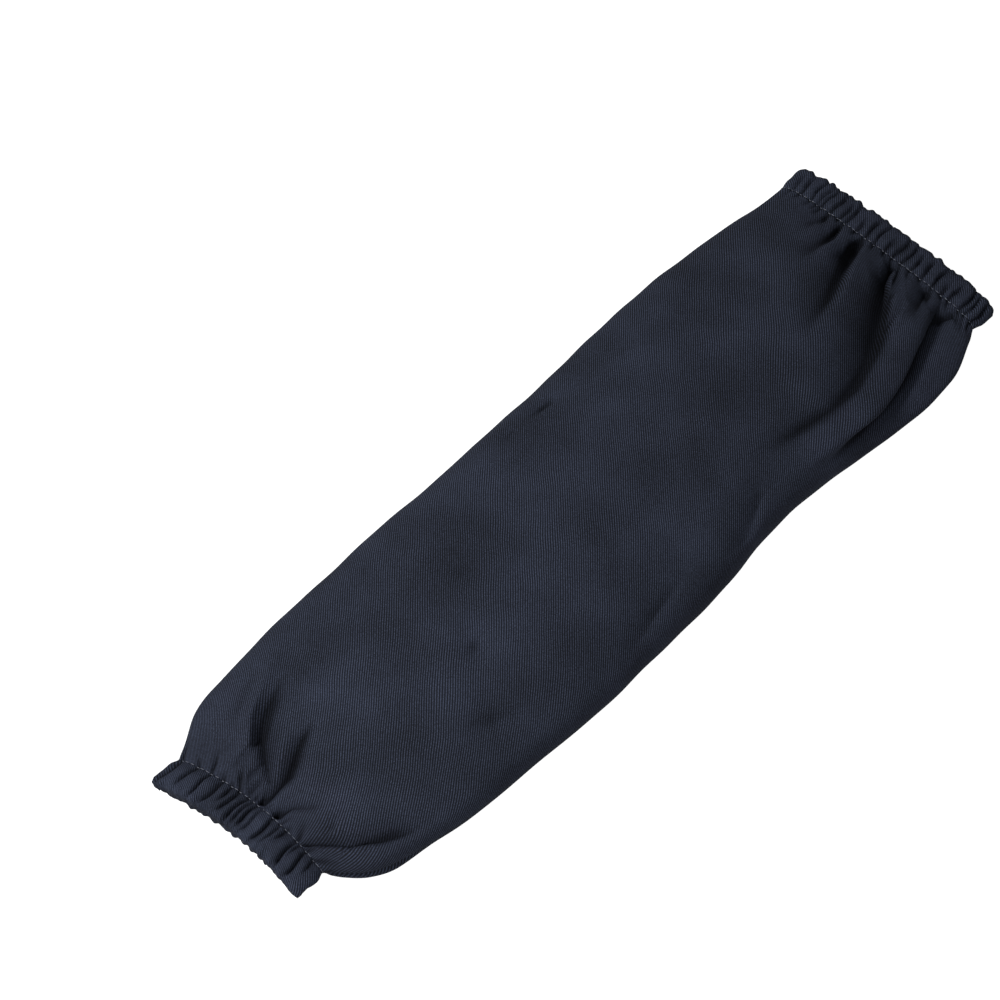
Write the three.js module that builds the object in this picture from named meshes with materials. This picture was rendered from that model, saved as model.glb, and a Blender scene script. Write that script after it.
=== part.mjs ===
// A welder's protective arm sleeve of navy cotton twill, lying on a flat surface.
// It is a puffed tube of cloth. Each end is turned in as a hem, and an elastic band in the hem gathers it.
// Frame: X runs from the wrist end to the upper arm end, Z is up, and the surface that it lies on is Z = 0.
import * as THREE from "three";

// Driving sizes in millimetres
const SLEEVE_LENGTH = 457; // 18 inches from rim to rim
const BODY_WIDTH = 140; // across the widest part as it lies
const BODY_HEIGHT = 38; // crown of the puffed tube above the surface
const SIDE_FOLD_HEIGHT = 12; // height of the soft folds along both sides
const WRIST_WIDTH = 88; // across the flattened wrist cuff
const ARM_WIDTH = 130; // across the flattened upper arm cuff
const WRIST_MOUTH = 7; // clear height inside the flattened wrist cuff
const ARM_MOUTH = 9; // clear height inside the flattened upper arm cuff
const CLOTH = 1.1; // thickness of one layer of cloth
const ELASTIC_WIDTH = 12.7; // half inch elastic
const ELASTIC_THICKNESS = 1.3;
const ELASTIC_CLEARANCE = 0.35; // between the elastic and the cloth around it
const STITCH_ALLOWANCE = 1.5; // from the elastic's channel to the line of stitches
const PIECE_GAP = 0.3; // between the body's cloth and a cuff's cloth at the stitches
const PLEATS = 36; // gathers round each cuff
const WRIST_PLEAT_DEPTH = 2.6;
const ARM_PLEAT_DEPTH = 2.0;
const LINING_PLEAT_DEPTH = 1.1; // gathers on the hem's inner layer
const WRIST_OFFSET = 4; // the wrist cuff lies this far to the left of the centre line
const WRIST_SLANT = 4.5; // the wrist cuff's lower rim lies this far behind its upper rim
const WRIST_BOW = 5; // the middle of the wrist rim is drawn in by this much
const WRIST_SKEW = 3.5; // the wrist rim's left end lies this much further out, its right end further in
const ARM_OFFSET = 4; // the same sizes at the upper arm cuff
const ARM_SLANT = 2;
const ARM_BOW = 1;
const ARM_SKEW = 1;
const CUFF_BLEND = 30; // length over which the gathered end opens into the body
const PLEAT_RUN = 22; // length over which the gathers fade out in the body

// Each cloth layer's place in a cuff is its distance from the elastic's middle surface.
const CHANNEL = ELASTIC_THICKNESS / 2 + ELASTIC_CLEARANCE;
const CASING_WIDTH = CLOTH + 2 * ELASTIC_CLEARANCE + ELASTIC_WIDTH + STITCH_ALLOWANCE;
const BODY_LENGTH = SLEEVE_LENGTH - 2 * CASING_WIDTH;
const PLEAT_PROFILE = [0, 1, 0.55]; // a gather's valley, its crest and its slope to the next valley
const CUFF_POINTS = PLEATS * PLEAT_PROFILE.length;
const BODY_POINTS = PLEATS * 2;
const FLOOR_PLEAT = 0.45; // gathers underneath are pressed to this share of their depth
const CUFF_OUTLINE_POINTS = 24;
const CUFF_SQUARENESS = 0.8; // 1 is an ellipse, and less is a flatter top and bottom

// The body's sections. along is a share of the body's length, left and right are shares of half its width,
// crown is a share of its height and fold a share of the side folds' height. edge is how far the upper
// layer's right edge lies inside the lower layer's, and tuck how far the crease below goes in under it, both
// as shares of half the width. Where tuck is negative there is no crease, only the tube's round side.
const SECTIONS = [
  { along: 0.0, left: 0.78, right: 0.66, crown: 0.62, fold: 0.95, edge: 0.12, tuck: -0.08 },
  { along: 0.04, left: 0.87, right: 0.77, crown: 0.74, fold: 0.95, edge: 0.13, tuck: -0.09 },
  { along: 0.1, left: 0.9, right: 0.85, crown: 0.86, fold: 0.95, edge: 0.15, tuck: -0.1 },
  { along: 0.2, left: 0.94, right: 0.93, crown: 0.95, fold: 1.0, edge: 0.16, tuck: -0.1 },
  { along: 0.33, left: 0.97, right: 0.975, crown: 1.0, fold: 1.0, edge: 0.16, tuck: -0.1 },
  { along: 0.5, left: 0.98, right: 0.965, crown: 1.0, fold: 1.0, edge: 0.16, tuck: -0.1 },
  { along: 0.665, left: 1.04, right: 0.885, crown: 0.98, fold: 0.95, edge: 0.14, tuck: -0.09 },
  { along: 0.73, left: 1.055, right: 0.91, crown: 0.95, fold: 0.95, edge: 0.12, tuck: -0.03 },
  { along: 0.79, left: 1.06, right: 0.95, crown: 0.93, fold: 0.9, edge: 0.15, tuck: 0.02 },
  { along: 0.846, left: 1.045, right: 0.98, crown: 0.89, fold: 0.85, edge: 0.19, tuck: 0.04 },
  { along: 0.888, left: 1.03, right: 0.995, crown: 0.85, fold: 0.85, edge: 0.26, tuck: 0.06 },
  { along: 0.924, left: 1.01, right: 0.985, crown: 0.8, fold: 0.85, edge: 0.31, tuck: 0.06 },
  { along: 0.956, left: 0.985, right: 0.95, crown: 0.74, fold: 0.85, edge: 0.32, tuck: 0.04 },
  { along: 1.0, left: 0.95, right: 0.89, crown: 0.63, fold: 0.9, edge: 0.28, tuck: 0.01 },
];

// The places in a section that its curve goes through, over the top to the left fold and back below. turn is
// an angle round the section, and points is how many columns of the mesh there are before the next place.
const UPPER_PLACES = [
  { turn: 50, points: 3 },
  { turn: 70, points: 5 },
  { turn: 90, points: 5 },
  { turn: 110, points: 4 },
  { turn: 130, points: 4 },
  { turn: 150, points: 3 },
  { turn: 168, points: 2 },
];
const LOWER_PLACES = [
  { turn: 180, points: 2 },
  { turn: 190, points: 2 },
  { turn: 202, points: 3 },
  { turn: 215, points: 4 },
  { turn: 245, points: 6 },
  { turn: 270, points: 6 },
  { turn: 295, points: 4 },
  { turn: 325, points: 3 },
  { turn: 338, points: 2 },
  { turn: 350, points: 2 },
];
// The right side: its fold, the lower layer's shoulder, the crease and the upper layer's edge above it. rise
// is each one's height, as a share of the way from the side fold to the crown.
const RIGHT_PLACES = {
  fold: { rise: 0, points: 2 },
  shoulder: { rise: 0.2, points: 3 },
  crease: { rise: 0.35, points: 3 },
  edge: { rise: 0.54, points: 4 },
};
const SHOULDER_SHARE = 0.35; // the shoulder's place on the way from the right fold to the crease
const UNDER_FOLD_TURN = 35; // degrees below each side fold in which the cloth comes down to the surface

// Folds and dents in the upper layer, each a straight valley. along is a share of the body's length and
// across a share of half its width, positive to the left. width is a share of the body's width and depth of
// its height. A negative depth is a ridge.
const FOLDS = [
  { fromAlong: 0.994, fromAcross: 0.28, toAlong: 0.92, toAcross: 0.17, width: 0.05, depth: 0.14 },
  { fromAlong: 0.92, fromAcross: 0.17, toAlong: 0.83, toAcross: 0.08, width: 0.075, depth: 0.09 },
  { fromAlong: 1.0, fromAcross: -0.07, toAlong: 0.947, toAcross: -0.16, width: 0.05, depth: 0.15 },
  { fromAlong: 0.947, fromAcross: -0.16, toAlong: 0.848, toAcross: -0.44, width: 0.09, depth: 0.17 },
  { fromAlong: 0.848, fromAcross: -0.44, toAlong: 0.648, toAcross: -0.48, width: 0.09, depth: 0.12 },
  { fromAlong: 1.0, fromAcross: -0.34, toAlong: 0.972, toAcross: -0.41, width: 0.05, depth: 0.09 },
  { fromAlong: 0.6, fromAcross: 0.77, toAlong: 0.5, toAcross: 0.74, width: 0.05, depth: 0.04 },
  { fromAlong: 0.64, fromAcross: -0.69, toAlong: 0.55, toAcross: -0.85, width: 0.055, depth: 0.06 },
  { fromAlong: 0.496, fromAcross: -0.8, toAlong: 0.394, toAcross: -0.86, width: 0.055, depth: 0.05 },
  { fromAlong: 0.12, fromAcross: 0.6, toAlong: 0.048, toAcross: 0.36, width: 0.06, depth: -0.06 },
  { fromAlong: 0.11, fromAcross: 0.18, toAlong: 0.008, toAcross: 0.03, width: 0.065, depth: 0.12 },
  { fromAlong: 0.059, fromAcross: -0.34, toAlong: 0.006, toAcross: -0.11, width: 0.05, depth: 0.07 },
  { fromAlong: 0.1, fromAcross: -0.7, toAlong: 0.0, toAcross: -0.38, width: 0.06, depth: 0.07 },
];

const FOLDS_START = 0.7; // the folds come in over this share of the side folds' height above them

// Where the body's mesh has its rings of points, as shares of its length: closer together near the cuffs.
const GATHERED_RINGS = { wrist: [0, 0.012], arm: [0.988, 1] };
const SMOOTH_RINGS = [
  0.028, 0.056, 0.094, 0.146, 0.216, 0.318, 0.435, 0.553, 0.659, 0.748, 0.824, 0.885, 0.932, 0.97,
];

const SLOPE_REACH = 0.015; // share of the body's length on either side over which its slope is read

const radians = THREE.MathUtils.degToRad;
const mix = THREE.MathUtils.lerp;
const ease = (t) => THREE.MathUtils.smoothstep(t, 0, 1);

// A column of a table at any place between its rows, on a smooth curve through them.
function lookUp(table, column, along) {
  const last = table.length - 2;
  const i = THREE.MathUtils.clamp(table.findIndex((row) => row.along > along) - 1, 0, last);
  const [before, from, to, after] = [i - 1, i, i + 1, i + 2].map(
    (k) => table[THREE.MathUtils.clamp(k, 0, table.length - 1)],
  );
  const span = to.along - from.along;
  const t = THREE.MathUtils.clamp((along - from.along) / span, 0, 1);
  const slope = (a, b) => ((b[column] - a[column]) / (b.along - a.along || 1)) * span;
  const slopeFrom = i === 0 ? 0 : slope(before, to);
  const slopeTo = i === last ? 0 : slope(from, after);
  const [t2, t3] = [t * t, t * t * t];
  return (
    from[column] * (2 * t3 - 3 * t2 + 1) +
    slopeFrom * (t3 - 2 * t2 + t) +
    to[column] * (3 * t2 - 2 * t3) +
    slopeTo * (t3 - t2)
  );
}

// Outward direction, within the section, at each point of a closed ring.
function ringNormals(ring) {
  return ring.map((_, i) => {
    const before = ring.at(i - 1);
    const after = ring[(i + 1) % ring.length];
    return new THREE.Vector3(0, before.z - after.z, after.y - before.y).normalize();
  });
}

// The body's outer surface across one section, starting at the right fold and going over the top to the left.
function bodySection(along, count) {
  const value = (column) => lookUp(SECTIONS, column, along);
  const half = BODY_WIDTH / 2;
  const [left, right] = [value("left") * half, value("right") * half];
  const crown = value("crown") * BODY_HEIGHT;
  const fold = value("fold") * SIDE_FOLD_HEIGHT;
  const edge = value("edge") * half;
  const crease = edge + value("tuck") * half;
  const rightSide = ({ rise, points }, inset) => ({ y: inset - right, z: mix(fold, crown, rise), points });
  const upperSide = ({ turn, points }) => {
    const angle = radians(turn);
    return { y: -Math.cos(angle) * (turn < 90 ? right : left), z: mix(fold, crown, Math.sin(angle)), points };
  };
  const lowerSide = ({ turn, points }) => {
    const angle = radians(turn);
    const down = Math.min(1, Math.min(turn - 180, 360 - turn) / UNDER_FOLD_TURN);
    const z = fold * (1 - Math.sin((down * Math.PI) / 2));
    return { y: -Math.cos(angle) * (turn > 270 ? right : left), z, points };
  };
  const places = [
    rightSide(RIGHT_PLACES.fold, 0),
    rightSide(RIGHT_PLACES.shoulder, SHOULDER_SHARE * crease),
    rightSide(RIGHT_PLACES.crease, crease),
    rightSide(RIGHT_PLACES.edge, edge),
    ...UPPER_PLACES.map(upperSide),
    ...LOWER_PLACES.map(lowerSide),
  ];
  const curve = new THREE.CatmullRomCurve3(
    places.map(({ y, z }) => new THREE.Vector3(0, y, z)),
    true,
    "centripetal",
  );
  // Each share of the mesh's columns, as a place along the curve
  const columns = places.reduce((sum, place) => sum + place.points, 0);
  return Array.from({ length: count }, (_, i) => {
    let column = (i / count) * columns;
    const span = places.findIndex((place) => {
      const inside = column < place.points;
      if (!inside) column -= place.points;
      return inside;
    });
    const point = curve.getPoint((span + column / places[span].points) / places.length);
    return point.setZ(Math.max(0, point.z));
  });
}

// How far the upper layer sinks at a place seen from above, for all the folds together.
function sink(x, y) {
  const place = new THREE.Vector2(x, y);
  return FOLDS.reduce((sum, f) => {
    const from = new THREE.Vector2((f.fromAlong - 0.5) * BODY_LENGTH, (f.fromAcross * BODY_WIDTH) / 2);
    const to = new THREE.Vector2((f.toAlong - 0.5) * BODY_LENGTH, (f.toAcross * BODY_WIDTH) / 2);
    const path = to.sub(from);
    const t = THREE.MathUtils.clamp(place.clone().sub(from).dot(path) / path.lengthSq(), 0, 1);
    const distance = place.distanceTo(from.add(path.multiplyScalar(t)));
    return sum + f.depth * BODY_HEIGHT * Math.exp(-((distance / (f.width * BODY_WIDTH)) ** 2));
  }, 0);
}

// Height of the gathers round a cuff: 0 in a valley and 1 on the tallest crest. turn is a share of a turn.
function gather(turn) {
  const place = turn * CUFF_POINTS;
  const from = Math.floor(place);
  const height = (i) => PLEAT_PROFILE[i % PLEAT_PROFILE.length];
  const pleat = Math.floor(from / PLEAT_PROFILE.length);
  const tallness = 0.8 + 0.2 * Math.sin(pleat * 2.4);
  return mix(height(from), height(from + 1), place - from) * tallness;
}

// One end of the sleeve: its elastic's middle line, flattened as it lies, and how its rim slants and bows.
function makeCuff({ width, mouth, pleatDepth, offset, slant, bow, skew, toRim }) {
  const halfWidth = width / 2 - CHANNEL - CLOTH - pleatDepth / 2;
  const halfHeight = mouth / 2 + CHANNEL + CLOTH + LINING_PLEAT_DEPTH;
  const centre = halfHeight + CHANNEL + CLOTH + FLOOR_PLEAT * pleatDepth;
  const outline = new THREE.CatmullRomCurve3(
    Array.from({ length: CUFF_OUTLINE_POINTS }, (_, i) => {
      const angle = (i / CUFF_OUTLINE_POINTS) * 2 * Math.PI;
      const rise = Math.sign(Math.sin(angle)) * Math.abs(Math.sin(angle)) ** CUFF_SQUARENESS;
      return new THREE.Vector3(0, offset - halfWidth * Math.cos(angle), centre + halfHeight * rise);
    }),
    true,
    "centripetal",
  );
  outline.arcLengthDivisions = 1000;
  const outward = (turn) => {
    const { y, z } = outline.getTangentAt(turn);
    return new THREE.Vector3(0, -z, y);
  };
  // Height of the gathers, pressed flatter underneath
  const crest = (turn) => gather(turn) * mix(FLOOR_PLEAT, 1, ease((outward(turn).z + 1) / 1.2));
  // A point of the cuff at a distance behind its rim and a distance from the elastic's middle surface
  const at = (turn, depth, distance) => {
    const middle = outline.getPointAt(turn);
    const across = (middle.y - offset) / halfWidth;
    const lean = (slant * (centre - middle.z)) / (2 * halfHeight);
    const point = middle.addScaledVector(outward(turn), distance);
    point.x = toRim * (SLEEVE_LENGTH / 2 - depth - bow * (1 - across ** 2) + skew * across - lean);
    return point;
  };
  return { crest, pleatDepth, at, toRim };
}

const wristCuff = makeCuff({
  width: WRIST_WIDTH,
  mouth: WRIST_MOUTH,
  pleatDepth: WRIST_PLEAT_DEPTH,
  offset: WRIST_OFFSET,
  slant: WRIST_SLANT,
  bow: WRIST_BOW,
  skew: WRIST_SKEW,
  toRim: -1,
});
const armCuff = makeCuff({
  width: ARM_WIDTH,
  mouth: ARM_MOUTH,
  pleatDepth: ARM_PLEAT_DEPTH,
  offset: ARM_OFFSET,
  slant: ARM_SLANT,
  bow: ARM_BOW,
  skew: ARM_SKEW,
  toRim: 1,
});

// Where the cloth's two faces lie on the line of stitches, so that body and cuff meet edge to edge.
const STITCHED_CREST = 0.6; // the stitches press the gathers to this share
const seamLift = (cuff, turn) => STITCHED_CREST * cuff.pleatDepth * cuff.crest(turn);
const SEAM_INNER_FACE = PIECE_GAP / 2;

// Triangles between two rings that both start at the same fold, whatever number of points each has.
function joinRings(indices, a, b, flip) {
  let [i, j] = [0, 0];
  const corner = (ring, k) => ring[k % ring.length];
  while (i < a.length || j < b.length) {
    const stepA = j >= b.length || (i < a.length && (i + 1) / a.length <= (j + 1) / b.length);
    const triangle = stepA
      ? [corner(a, i), corner(a, i + 1), corner(b, j)]
      : [corner(a, i), corner(b, j + 1), corner(b, j)];
    indices.push(...(flip ? triangle.reverse() : triangle));
    if (stepA) i += 1;
    else j += 1;
  }
}

// A closed geometry from rings of points, each joined to the next and the last to the first.
function skin(rings, flip = false) {
  const positions = [];
  const indices = [];
  const numbered = rings.map((ring) =>
    ring.map((p) => {
      positions.push(p.x, p.y, p.z);
      return positions.length / 3 - 1;
    }),
  );
  numbered.forEach((ring, k) => joinRings(indices, ring, numbered[(k + 1) % numbered.length], flip));
  const geometry = new THREE.BufferGeometry();
  geometry.setAttribute("position", new THREE.Float32BufferAttribute(positions, 3));
  geometry.setIndex(indices);
  geometry.computeVertexNormals();
  return geometry;
}

// The body's smooth outer surface at one place, before gathers. Near a cuff it blends into the cuff's ring.
function smoothRing(along, count) {
  const x = (along - 0.5) * BODY_LENGTH;
  const cuff = along < 0.5 ? wristCuff : armCuff;
  const fromCuff = BODY_LENGTH / 2 - Math.abs(x);
  const open = ease(Math.sqrt(fromCuff / CUFF_BLEND));
  return bodySection(along, count).map((p, i) => {
    const seam = cuff.at(i / count, CASING_WIDTH + PIECE_GAP, SEAM_INNER_FACE + CLOTH);
    const point = p.setX(x).lerpVectors(seam.setX(seam.x - cuff.toRim * fromCuff), p, open);
    const onTop = ease((point.z - SIDE_FOLD_HEIGHT) / (FOLDS_START * SIDE_FOLD_HEIGHT));
    point.z -= onTop * Math.sqrt(open) * sink(point.x, point.y);
    return point;
  });
}

// The body's outer and inner rings at one place. The inner one lies one cloth thickness inside.
function bodyRings(along, count) {
  const ring = smoothRing(along, count);
  const before = smoothRing(Math.max(0, along - SLOPE_REACH), count);
  const after = smoothRing(Math.min(1, along + SLOPE_REACH), count);
  const cuff = along < 0.5 ? wristCuff : armCuff;
  const fromCuff = Math.min(along, 1 - along) * BODY_LENGTH;
  const fade = 1 - ease(fromCuff / PLEAT_RUN);
  const flat = ringNormals(ring);
  const outer = ring.map((p, i) => {
    const lifted = p.clone().addScaledVector(flat[i], fade * seamLift(cuff, i / count));
    return lifted.setZ(Math.max(0, lifted.z));
  });
  const inner = outer.map((p, i) => {
    const round = ring[(i + 1) % count].clone().sub(ring.at(i - 1));
    const forward = after[i].clone().sub(before[i]);
    const square = forward.cross(round).normalize();
    const normal = flat[i].clone().lerp(square, ease(fromCuff / CUFF_BLEND)).normalize();
    return p.clone().addScaledVector(normal, -CLOTH);
  });
  return { outer, inner };
}

function bodyGeometry() {
  const places = [
    ...GATHERED_RINGS.wrist.map((along) => [along, CUFF_POINTS]),
    ...SMOOTH_RINGS.map((along) => [along, BODY_POINTS]),
    ...GATHERED_RINGS.arm.map((along) => [along, CUFF_POINTS]),
  ];
  const rings = places.map(([along, count]) => bodyRings(along, count));
  return skin([...rings.map((r) => r.outer), ...rings.map((r) => r.inner).reverse()], true);
}

// A cuff is a hem: the cloth runs from the stitches to the rim, turns in and comes back to the stitches.
function cuffGeometry(cuff) {
  const elasticEnd = CLOTH + 2 * ELASTIC_CLEARANCE + ELASTIC_WIDTH;
  const rings = Array.from({ length: CUFF_POINTS }, (_, i) => {
    const turn = i / CUFF_POINTS;
    const outer = CHANNEL + cuff.pleatDepth * cuff.crest(turn);
    const lining = -CHANNEL - LINING_PLEAT_DEPTH * cuff.crest(turn);
    const seam = seamLift(cuff, turn);
    return [
      [CASING_WIDTH, SEAM_INNER_FACE + CLOTH + seam],
      [elasticEnd - CLOTH, outer + CLOTH],
      [0, 0.7 * outer],
      [0, 0.7 * lining],
      [elasticEnd - CLOTH, lining - CLOTH],
      [CASING_WIDTH, seam - SEAM_INNER_FACE - CLOTH],
      [CASING_WIDTH, seam - SEAM_INNER_FACE],
      [elasticEnd, lining],
      [CLOTH, lining],
      [CLOTH, outer],
      [elasticEnd, outer],
      [CASING_WIDTH, SEAM_INNER_FACE + seam],
    ].map(([depth, distance]) => cuff.at(turn, depth, distance));
  });
  return skin(rings, cuff.toRim < 0);
}

// The elastic is a flat band in the hem's channel, clear of the cloth all round.
function elasticGeometry(cuff) {
  const near = CLOTH + ELASTIC_CLEARANCE;
  const half = ELASTIC_THICKNESS / 2;
  const corners = [
    [near, half],
    [near, -half],
    [near + ELASTIC_WIDTH, -half],
    [near + ELASTIC_WIDTH, half],
  ];
  const count = CUFF_POINTS / 2;
  const rings = Array.from({ length: count }, (_, i) =>
    corners.map(([depth, distance]) => cuff.at(i / count, depth, distance)),
  );
  return skin(rings, cuff.toRim < 0);
}

const navyTwill = new THREE.MeshStandardMaterial({ color: 0x2a2e3a, roughness: 0.9, metalness: 0 });
const wovenElastic = new THREE.MeshStandardMaterial({ color: 0x23252b, roughness: 0.8, metalness: 0 });

const sleeve = new THREE.Group();
const pieces = {
  sleeve_body: [bodyGeometry(), navyTwill],
  wrist_cuff: [cuffGeometry(wristCuff), navyTwill],
  arm_cuff: [cuffGeometry(armCuff), navyTwill],
  wrist_elastic: [elasticGeometry(wristCuff), wovenElastic],
  arm_elastic: [elasticGeometry(armCuff), wovenElastic],
};
for (const [name, [geometry, material]] of Object.entries(pieces)) {
  const mesh = new THREE.Mesh(geometry, material);
  mesh.name = name;
  sleeve.add(mesh);
}

// The origin is the middle of the surface that the sleeve covers.
const box = new THREE.Box3().setFromObject(sleeve, true);
const middle = box.getCenter(new THREE.Vector3());
sleeve.position.set(-middle.x, -middle.y, -box.min.z);

export default sleeve;
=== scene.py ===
# %% [markdown]
# # A welder's sleeve of navy twill
# The real object is a tube of heavy cotton twill, about 457 mm long, that covers the forearm. Each end is
# turned in as a hem with half inch elastic inside, so the cloth gathers there and puffs out between the two
# hems. This lesson makes its cloth as one continuous surface, worked out row by row in numpy, and then gives
# it thickness, thread and a woven finish. Everything is in the frame of the solid model, which is in metres.

# %% Set up
import math

import bpy
import numpy as np
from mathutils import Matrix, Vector


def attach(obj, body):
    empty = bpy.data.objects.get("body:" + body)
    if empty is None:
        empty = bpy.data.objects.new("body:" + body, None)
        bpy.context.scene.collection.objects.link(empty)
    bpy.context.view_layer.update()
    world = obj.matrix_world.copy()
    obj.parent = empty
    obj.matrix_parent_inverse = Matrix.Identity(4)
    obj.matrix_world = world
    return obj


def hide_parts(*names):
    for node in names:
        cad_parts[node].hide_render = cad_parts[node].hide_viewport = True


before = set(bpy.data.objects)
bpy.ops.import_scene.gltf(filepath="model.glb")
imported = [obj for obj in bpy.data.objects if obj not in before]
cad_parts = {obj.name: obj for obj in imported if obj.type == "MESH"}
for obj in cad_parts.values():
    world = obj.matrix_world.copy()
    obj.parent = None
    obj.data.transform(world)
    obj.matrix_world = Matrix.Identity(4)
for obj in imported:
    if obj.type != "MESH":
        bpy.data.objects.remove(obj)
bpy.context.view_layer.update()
MM = 0.001
print("nodes of the solid model:", sorted(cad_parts))

# %% [markdown]
# ## Camera, light and floor
# The sleeve is seen from above and from its right side near the wrist, through a long lens from a little
# over a metre. A picture for a catalogue is taken on a white sweep that is lit until it is pure white. It
# could be white paper under strong lamps, but the light that bounces off it would fill the folds of the dark
# cloth. Here the sweep glows by itself and reflects little. One small lamp at the left of the wrist end
# gives the gathers their shadows, and a weak lamp beside the camera and a grey room keep them from going
# black.

# %% Camera, lamps and floor
CAMERA_AZIMUTH = -45.9  # degrees, 0 looks along the frame's +Y
CAMERA_ELEVATION = 57.5
CAMERA_DISTANCE = 1150 * MM
CAMERA_LENS = 87.3
SENSOR_WIDTH = 36
LOOK_AT = np.array([-15.4, 42.4, 0.0]) * MM
# Angles in degrees, distances and sizes in metres
LAMPS = [
    {"name": "window_light", "azimuth": -128, "elevation": 50, "distance": 1.9, "size": 0.4, "watts": 92},
    {"name": "fill_light", "azimuth": -50, "elevation": 35, "distance": 0.9, "size": 0.5, "watts": 8},
]
ROOM_LIGHT = 0.55
SWEEP_SIZE = 200  # metres, so that its edge shows in no low view
SWEEP_GLOW = 0.95


def linear(hex_colour):
    """An sRGB hex colour as linear RGBA."""
    parts = [int(hex_colour[i : i + 2], 16) / 255 for i in (1, 3, 5)]
    return [p / 12.92 if p <= 0.04045 else ((p + 0.055) / 1.055) ** 2.4 for p in parts] + [1.0]


def towards_viewer(azimuth, elevation):
    """Unit vector from the object to a viewer at these angles, in degrees."""
    a, e = math.radians(azimuth), math.radians(elevation)
    return np.array([math.sin(a) * math.cos(e), -math.cos(a) * math.cos(e), math.sin(e)])


def point_at(obj, position, target):
    """Place a camera or lamp and turn it to look at a point."""
    obj.location = position
    obj.rotation_euler = (Vector(target) - Vector(position)).to_track_quat("-Z", "Y").to_euler()


def place_camera():
    data = bpy.data.cameras.new("camera")
    data.lens = CAMERA_LENS
    data.sensor_width = SENSOR_WIDTH
    camera = bpy.data.objects.new("camera", data)
    bpy.context.scene.collection.objects.link(camera)
    point_at(camera, LOOK_AT + CAMERA_DISTANCE * towards_viewer(CAMERA_AZIMUTH, CAMERA_ELEVATION), LOOK_AT)
    bpy.context.scene.camera = camera


def place_lamp(name, azimuth, elevation, distance, size, watts):
    light = bpy.data.lights.new(name, "AREA")
    light.shape = "DISK"
    light.size = size
    light.energy = watts
    lamp = bpy.data.objects.new(name, light)
    bpy.context.scene.collection.objects.link(lamp)
    point_at(lamp, distance * towards_viewer(azimuth, elevation), (0, 0, 0))


place_camera()
for lamp in LAMPS:
    place_lamp(**lamp)
world = bpy.data.worlds.new("room")
bpy.context.scene.world = world
world.use_nodes = True
world.node_tree.nodes["Background"].inputs["Color"].default_value = linear("#ffffff")
world.node_tree.nodes["Background"].inputs["Strength"].default_value = ROOM_LIGHT
bpy.context.scene.view_settings.view_transform = "Standard"

bpy.ops.mesh.primitive_plane_add(size=SWEEP_SIZE)
floor = bpy.context.object
floor.name = "floor"
paper = bpy.data.materials.new("white_sweep")
paper.use_nodes = True
paper_shader = paper.node_tree.nodes["Principled BSDF"]
paper_shader.inputs["Base Color"].default_value = linear("#595959")
paper_shader.inputs["Roughness"].default_value = 0.9
paper_shader.inputs["Emission Color"].default_value = linear("#ffffff")
paper_shader.inputs["Emission Strength"].default_value = SWEEP_GLOW
floor.data.materials.append(paper)
print("camera and", len(LAMPS), "lamps placed")

# %% [markdown]
# ## Sizes
# The sizes are those of the solid model: the tube as it lies, the two hems and the elastic in them. The
# cloth's flat width is the tube's circumference, which the elastic gathers to a little over half at the
# wrist and five sixths at the upper arm. They could be read from the solid model's boxes, but a box doesn't
# tell how wide the hem or the cloth is, so they are written here once and everything below follows from
# them.

# %% Sizes in millimetres
# Lengths below are in mm, and where something sets in or ends they run from the stitches.
SLEEVE_LENGTH = 457
BODY_WIDTH = 140
BODY_HEIGHT = 38
SIDE_FOLD_HEIGHT = 12
CASING_WIDTH = 16  # from the rim to the line of stitches
BODY_LENGTH = SLEEVE_LENGTH - 2 * CASING_WIDTH
CLOTH_ROUND = 300  # circumference of the cloth when it is flat
CLOTH_THICKNESS = 0.9
HEM_THICKNESS = 0.7  # thinner, to keep clear of the elastic
SOLID_CLOTH = 1.1  # the solid model's cloth, which places the rings
CHANNEL = 1.0  # from the elastic's middle to the cloth
STACK = 3.2  # from a cuff's flat opening to the elastic's middle
FLOOR_SHARE = 0.45  # share of the creases' depth that the lower layer has
COLUMNS = 360  # points round the sleeve, 0.8 mm apart on the flat cloth
CUFF_OFFSET = 5  # to the left of the sleeve's middle
# width is the cuff's width, depth its creases' depth, and mouth the height of its flattened opening. The
# upper layer's rim lies slant further out than the lower one's, the rim's middle lies bow further in than its
# ends, and its left end lies skew further out than its middle.
CUFFS = {
    "wrist": {"width": 87, "mouth": 7, "depth": 2.5, "slant": 3, "bow": 5, "skew": 3.5, "to_rim": -1},
    "arm": {"width": 127.5, "mouth": 9, "depth": 2, "slant": 2, "bow": 1, "skew": 1, "to_rim": 1},
}


def ease(t):
    """0 below 0 and 1 above 1, with a smooth rise between them."""
    t = np.clip(t, 0, 1)
    return t * t * (3 - 2 * t)


def mix(a, b, t):
    """a where t is 0 and b where t is 1."""
    return a + (b - a) * t


print("the tube is", BODY_LENGTH, "mm long between the stitches")

# %% [markdown]
# ## Sections of the tube
# A cloth tube that lies down is flat below, folds softly along both sides and is crowned above. A simulation
# could press a cylinder flat, but not into the shape of this one sleeve. So a short table gives its width,
# height and side folds at places along its length, and a smooth curve goes through them. Near the upper arm
# the right side doubles over: the upper layer's edge lies inside the lower layer's, over a crease.

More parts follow.
